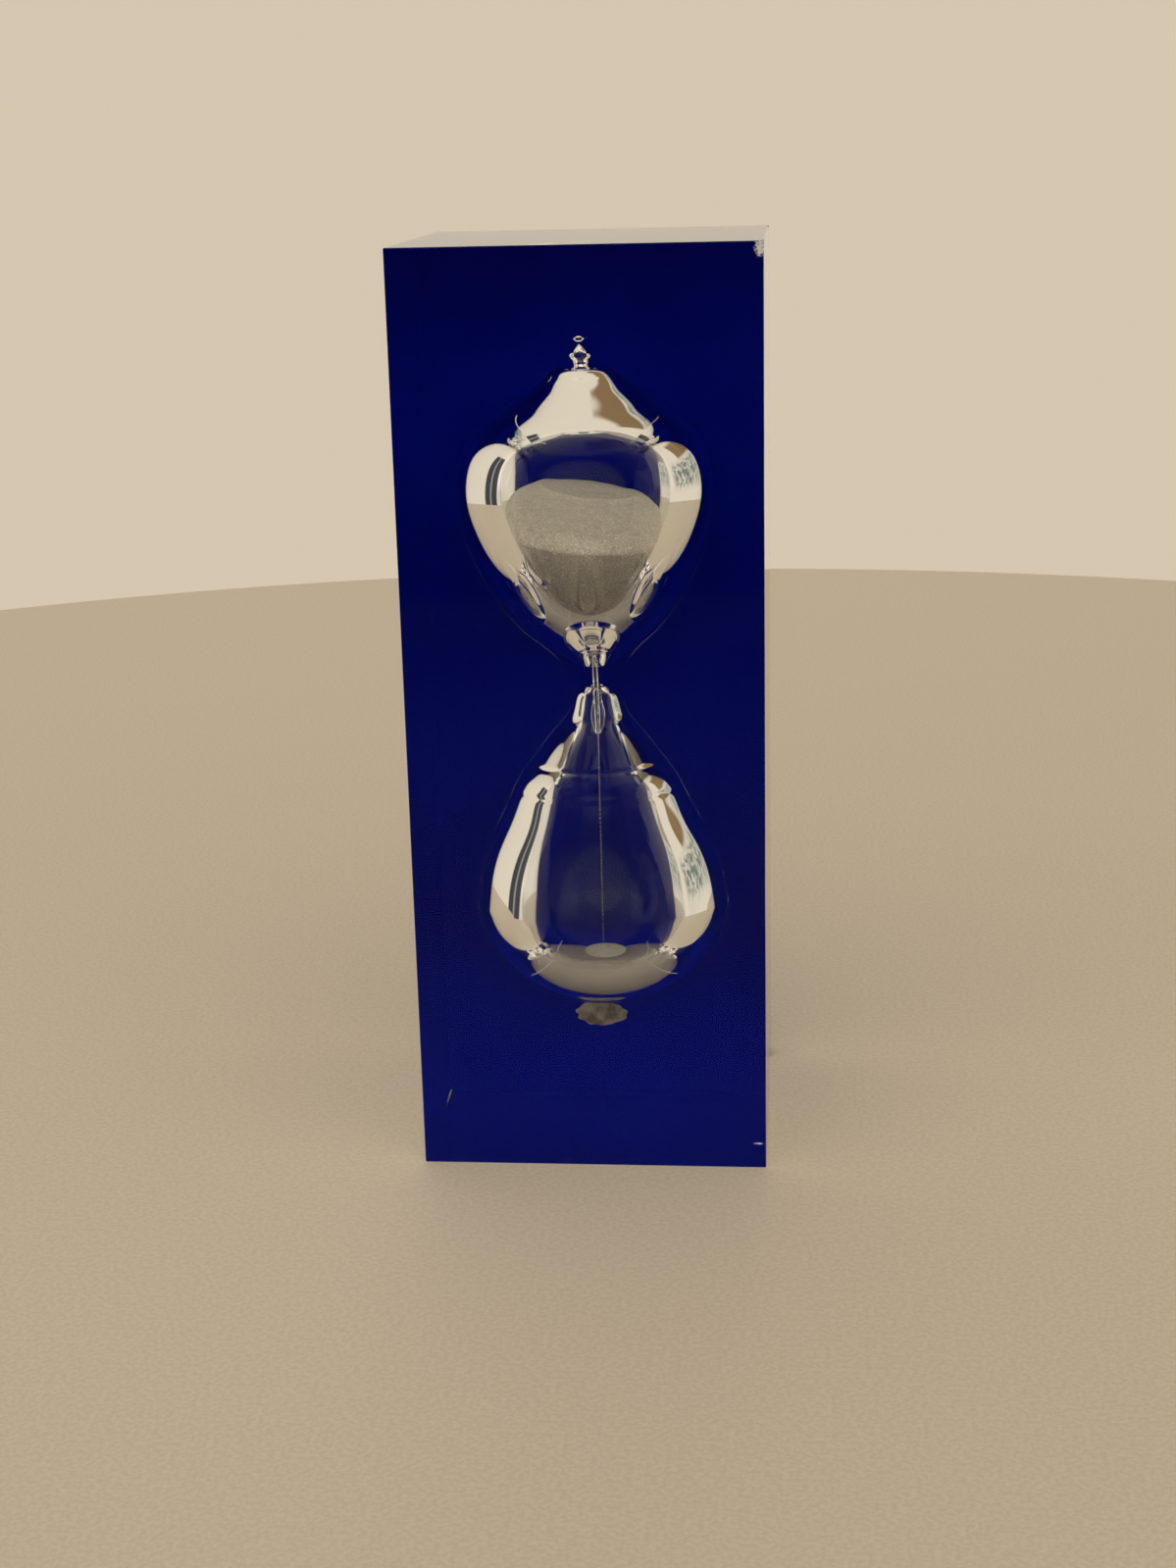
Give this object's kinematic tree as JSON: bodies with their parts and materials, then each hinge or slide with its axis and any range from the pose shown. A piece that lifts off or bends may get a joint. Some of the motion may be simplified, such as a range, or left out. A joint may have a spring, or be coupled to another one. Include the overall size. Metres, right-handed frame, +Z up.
{
  "type": "hourglass",
  "caption": "Sand timer with a blown glass vial, cast inside a clear acrylic block with a blue back.",
  "frame": {"origin": "centre of the flat base that the block stands on", "axes": "+Z up the long side of the block, +Y from the clear front to the blue back, +X to the right seen from the front"},
  "size_m": [0.0508, 0.046, 0.1333],
  "materials": {
    "clear_acrylic": "polished clear cast acrylic",
    "blue_acrylic": "polished opaque cobalt blue cast acrylic",
    "vial_glass": "clear flame-worked glass",
    "sand": "fine dry grey-beige sand"
  },
  "bodies": {
    "block": {"clear_block": "clear_acrylic", "blue_back": "blue_acrylic", "upper_bulb": "vial_glass", "seal_tip": "vial_glass", "neck": "vial_glass", "lower_bulb": "vial_glass", "upper_sand": "sand", "sand_stream": "sand"},
    "loose_sand": {"lower_sand": "sand"}
  },
  "joints": [
    {"name": "loose_sand_slide", "type": "slide", "parent": "block", "child": "loose_sand", "axis": [-0.0201, 0, 0.9998], "range_m": [0, 0.04], "deforming": ["sand_stream"]}
  ]
}
